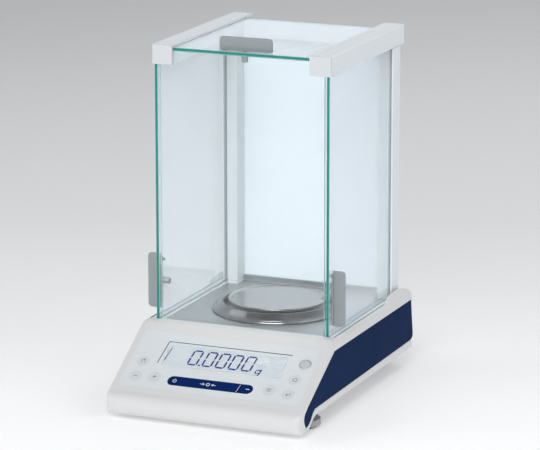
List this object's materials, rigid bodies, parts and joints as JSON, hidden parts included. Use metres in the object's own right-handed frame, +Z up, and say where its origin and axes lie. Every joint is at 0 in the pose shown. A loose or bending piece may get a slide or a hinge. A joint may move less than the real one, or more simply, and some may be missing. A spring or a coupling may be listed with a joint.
{
  "type": "analytical balance",
  "caption": "Laboratory analytical balance: wedge base with sloping control panel, round weighing pan and glass draft shield with sliding side and top doors.",
  "frame": {"origin": "on the bench, at the bottom centre of the bounding box of the closed balance standing on its feet", "axes": "+Z up, the sloping control panel faces -Y, +X to the user's right"},
  "size_m": [0.1968, 0.29, 0.3411],
  "materials": {
    "housing_white": "satin moulded",
    "side_panel_navy": "smooth gloss inlay",
    "overlay_grey": "fine matt membrane",
    "bar_blue": "smooth",
    "display_screen": "clear window",
    "display_body": "matt",
    "circuit_board": "solder mask",
    "tray_grey": "fine texture",
    "foot_rubber": "matt",
    "screw_steel": "zinc plated",
    "vial_cup": "satin",
    "vial_glass": "polished",
    "floor_steel": "satin brushed",
    "pan_steel": "polished stainless steel",
    "shield_glass": "polished, green at the edges",
    "rear_panel_pane": "pale translucent pane",
    "rail_aluminium": "pale satin powder coat",
    "handle_grey": "satin",
    "cell_aluminium": "milled",
    "pot_steel": "nickel plated",
    "jack_black": "matt",
    "socket_steel": "plated shell"
  },
  "bodies": {
    "base": {"top_housing": "housing_white", "left_side_panel": "side_panel_navy", "right_side_panel": "side_panel_navy", "base_tray": "tray_grey", "front_left_base_screw": "screw_steel", "front_right_base_screw": "screw_steel", "rear_left_base_screw": "screw_steel", "rear_right_base_screw": "screw_steel", "left_rear_foot": "foot_rubber", "right_rear_foot": "foot_rubber", "control_overlay": "overlay_grey", "display_window": "display_screen", "display_module": "display_body", "control_board": "circuit_board", "level_vial_cup": "vial_cup", "level_vial_glass": "vial_glass", "pan_carrier": "pan_steel", "weighing_cell": "cell_aluminium", "magnet_pot": "pot_steel", "main_board": "circuit_board", "power_jack": "jack_black", "serial_socket": "socket_steel", "front_glass": "shield_glass", "rear_panel": "rear_panel_pane", "rear_crossbar": "rail_aluminium", "left_top_rail": "rail_aluminium", "left_rail_cap": "housing_white", "left_rear_post": "rail_aluminium", "left_door_guide": "rail_aluminium", "left_door_track": "rail_aluminium", "right_top_rail": "rail_aluminium", "right_rail_cap": "housing_white", "right_rear_post": "rail_aluminium", "right_door_guide": "rail_aluminium", "right_door_track": "rail_aluminium"},
    "left_door": {"left_door_glass": "shield_glass", "left_door_handle": "handle_grey", "left_door_knob": "handle_grey"},
    "right_door": {"right_door_glass": "shield_glass", "right_door_handle": "handle_grey", "right_door_knob": "handle_grey"},
    "top_door": {"top_door_glass": "shield_glass", "top_door_handle": "handle_grey", "top_door_knob": "handle_grey"},
    "floor": {"floor_plate": "floor_steel"},
    "ring": {"draft_ring": "pan_steel"},
    "pan": {"weighing_pan": "pan_steel"},
    "left_foot": {"left_foot_pad": "foot_rubber"},
    "left_wheel": {"left_foot_wheel": "tray_grey"},
    "right_foot": {"right_foot_pad": "foot_rubber"},
    "right_wheel": {"right_foot_wheel": "tray_grey"},
    "hook_cover": {"hook_cover": "tray_grey"},
    "tare_key": {"tare_key": "bar_blue"},
    "clear_key": {"clear_key": "bar_blue"},
    "transfer_key": {"transfer_key": "overlay_grey"},
    "minus_key": {"minus_key": "overlay_grey"},
    "plus_key": {"plus_key": "overlay_grey"},
    "home_key": {"home_key": "overlay_grey"},
    "function_key": {"function_key": "overlay_grey"},
    "enter_key": {"enter_key": "overlay_grey"}
  },
  "joints": [
    {"name": "left_door_slide", "type": "slide", "parent": "base", "child": "left_door", "axis": [0, 1, 0], "range_m": [0, 0.14]},
    {"name": "right_door_slide", "type": "slide", "parent": "base", "child": "right_door", "axis": [0, 1, 0], "range_m": [0, 0.14]},
    {"name": "top_door_slide", "type": "slide", "parent": "base", "child": "top_door", "axis": [0, 1, 0], "range_m": [0, 0.14]},
    {"name": "floor_plate_lift", "type": "slide", "parent": "base", "child": "floor", "axis": [0, 0, 1], "range_m": [0, 0.03]},
    {"name": "draft_ring_lift", "type": "slide", "parent": "floor", "child": "ring", "axis": [0, 0, 1], "range_m": [0, 0.1]},
    {"name": "pan_lift", "type": "slide", "parent": "floor", "child": "pan", "axis": [0, 0, 1], "range_m": [0, 0.14]},
    {"name": "tare_key_press", "type": "slide", "parent": "base", "child": "tare_key", "axis": [0, 0.5358, -0.8443], "range_m": [0, 0.0004], "stiffness_N_per_m": 1500, "springref_m": -0.0003},
    {"name": "clear_key_press", "type": "slide", "parent": "base", "child": "clear_key", "axis": [0, 0.5358, -0.8443], "range_m": [0, 0.0004], "stiffness_N_per_m": 1500, "springref_m": -0.0003},
    {"name": "transfer_key_press", "type": "slide", "parent": "base", "child": "transfer_key", "axis": [0, 0.5358, -0.8443], "range_m": [0, 0.0004], "stiffness_N_per_m": 1500, "springref_m": -0.0003},
    {"name": "minus_key_press", "type": "slide", "parent": "base", "child": "minus_key", "axis": [0, 0.5358, -0.8443], "range_m": [0, 0.0004], "stiffness_N_per_m": 1500, "springref_m": -0.0003},
    {"name": "plus_key_press", "type": "slide", "parent": "base", "child": "plus_key", "axis": [0, 0.5358, -0.8443], "range_m": [0, 0.0004], "stiffness_N_per_m": 1500, "springref_m": -0.0003},
    {"name": "home_key_press", "type": "slide", "parent": "base", "child": "home_key", "axis": [0, 0.5358, -0.8443], "range_m": [0, 0.0004], "stiffness_N_per_m": 1500, "springref_m": -0.0003},
    {"name": "function_key_press", "type": "slide", "parent": "base", "child": "function_key", "axis": [0, 0.5358, -0.8443], "range_m": [0, 0.0004], "stiffness_N_per_m": 1500, "springref_m": -0.0003},
    {"name": "enter_key_press", "type": "slide", "parent": "base", "child": "enter_key", "axis": [0, 0.5358, -0.8443], "range_m": [0, 0.0004], "stiffness_N_per_m": 1500, "springref_m": -0.0003},
    {"name": "left_foot_travel", "type": "slide", "parent": "base", "child": "left_foot", "axis": [0, 0, 1], "range_m": [-0.0026, 0.0026]},
    {"name": "left_foot_turn", "type": "hinge", "parent": "left_foot", "child": "left_wheel", "pos_m": [-0.079, -0.095, 0.005], "axis": [0, 0, 1], "range_deg": [-720, 720]},
    {"name": "right_foot_travel", "type": "slide", "parent": "base", "child": "right_foot", "axis": [0, 0, 1], "range_m": [-0.0026, 0.0026]},
    {"name": "right_foot_turn", "type": "hinge", "parent": "right_foot", "child": "right_wheel", "pos_m": [0.079, -0.095, 0.005], "axis": [0, 0, 1], "range_deg": [-720, 720]},
    {"name": "hook_cover_turn", "type": "hinge", "parent": "base", "child": "hook_cover", "pos_m": [0.015, 0.035, 0.0134], "axis": [0, 0, 1], "range_deg": [0, 90]}
  ],
  "couplings": [
    {"joint": "left_foot_travel", "follows": "left_foot_turn", "m_per_rad": 0.00019894},
    {"joint": "right_foot_travel", "follows": "right_foot_turn", "m_per_rad": 0.00019894}
  ]
}
